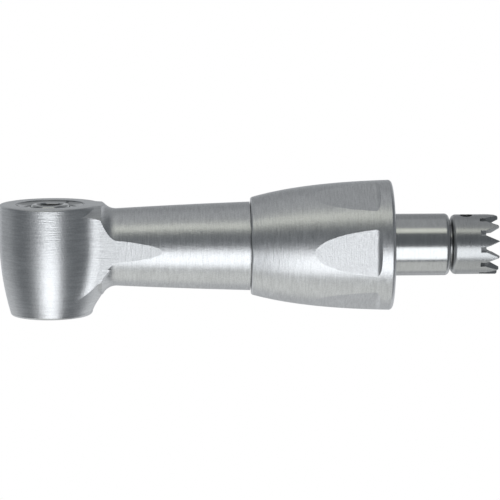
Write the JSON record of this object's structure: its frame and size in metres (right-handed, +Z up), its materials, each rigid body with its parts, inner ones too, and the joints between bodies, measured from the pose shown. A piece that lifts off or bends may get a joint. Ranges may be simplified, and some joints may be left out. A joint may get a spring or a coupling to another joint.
{
  "type": "contra angle handpiece",
  "caption": "Contra-angle head section in satin steel: open-faced head with screw-in spindle on a tapered neck, fluted grip sleeve, turned rear collar and toothed crown gear.",
  "frame": {"origin": "where the spindle axis crosses the drive shaft axis, inside the head, on the axis of the spindle's screw bore", "axes": "+X along the drive shaft to the rear coupling, +Z along the spindle out of the open face of the head, +Y to the left seen from the rear coupling with +Z up"},
  "size_m": [0.0498, 0.013, 0.0133],
  "materials": {
    "satin_steel": "fine satin brushed stainless steel",
    "turned_steel": "fine turned and lightly polished stainless steel",
    "crown_steel": "turned and hardened stainless steel",
    "gear_steel": "hardened tool steel, cut and lapped",
    "bearing_steel": "ground and polished bearing steel",
    "bronze": "plain turned bronze",
    "cage_polymer": "brown phenolic resin",
    "seal_rubber": "black fluoroelastomer",
    "spring_steel": "spring steel, tumbled"
  },
  "bodies": {
    "housing": {"head_housing": "satin_steel", "front_cap": "turned_steel", "spindle_seal": "seal_rubber", "preload_washer": "spring_steel", "inner_tube": "turned_steel", "spacer_tube": "turned_steel", "thrust_washer": "bronze", "collar_o_ring": "seal_rubber", "rear_circlip": "spring_steel", "rear_seal": "seal_rubber", "upper_spindle_bearing_outer_ring": "bearing_steel", "lower_spindle_bearing_outer_ring": "bearing_steel", "front_shaft_bearing_outer_ring": "bearing_steel", "rear_shaft_bearing_outer_ring": "bearing_steel"},
    "drive_line": {"drive_shaft": "turned_steel", "crown_gear": "crown_steel", "crown_pin": "gear_steel", "shaft_spacer": "bronze", "crown_spacer": "bronze", "drive_pinion": "gear_steel", "front_shaft_bearing_inner_ring": "bearing_steel", "rear_shaft_bearing_inner_ring": "bearing_steel"},
    "spindle": {"spindle": "turned_steel", "spindle_gear": "gear_steel", "upper_spindle_bearing_inner_ring": "bearing_steel", "lower_spindle_bearing_inner_ring": "bearing_steel"},
    "upper_spindle_balls": {"upper_spindle_bearing_balls": "bearing_steel", "upper_spindle_bearing_cage": "cage_polymer"},
    "lower_spindle_balls": {"lower_spindle_bearing_balls": "bearing_steel", "lower_spindle_bearing_cage": "cage_polymer"},
    "front_shaft_balls": {"front_shaft_bearing_balls": "bearing_steel", "front_shaft_bearing_cage": "cage_polymer"},
    "rear_shaft_balls": {"rear_shaft_bearing_balls": "bearing_steel", "rear_shaft_bearing_cage": "cage_polymer"},
    "sleeve": {"coupling_sleeve": "satin_steel"}
  },
  "joints": [
    {"name": "drive_spin", "type": "hinge", "parent": "housing", "child": "drive_line", "pos_m": [0.02, 0, 0], "axis": [1, 0, 0], "continuous": true},
    {"name": "spindle_spin", "type": "hinge", "parent": "housing", "child": "spindle", "pos_m": [0, 0, 0], "axis": [0, 0, 1], "continuous": true},
    {"name": "upper_spindle_ball_spin", "type": "hinge", "parent": "housing", "child": "upper_spindle_balls", "pos_m": [0, 0, 0.00315], "axis": [0, 0, 1], "continuous": true},
    {"name": "lower_spindle_ball_spin", "type": "hinge", "parent": "housing", "child": "lower_spindle_balls", "pos_m": [0, 0, -0.0047], "axis": [0, 0, 1], "continuous": true},
    {"name": "front_shaft_ball_spin", "type": "hinge", "parent": "housing", "child": "front_shaft_balls", "pos_m": [0.0057, 0, 0], "axis": [1, 0, 0], "continuous": true},
    {"name": "rear_shaft_ball_spin", "type": "hinge", "parent": "housing", "child": "rear_shaft_balls", "pos_m": [0.0374, 0, 0], "axis": [1, 0, 0], "continuous": true},
    {"name": "sleeve_turn", "type": "hinge", "parent": "housing", "child": "sleeve", "pos_m": [0.021, 0, 0], "axis": [1, 0, 0], "continuous": true}
  ],
  "couplings": [
    {"joint": "spindle_spin", "follows": "drive_spin", "ratio": 0.75},
    {"joint": "upper_spindle_ball_spin", "follows": "drive_spin", "ratio": 0.3287},
    {"joint": "lower_spindle_ball_spin", "follows": "drive_spin", "ratio": 0.2971},
    {"joint": "front_shaft_ball_spin", "follows": "drive_spin", "ratio": 0.405},
    {"joint": "rear_shaft_ball_spin", "follows": "drive_spin", "ratio": 0.4211}
  ]
}
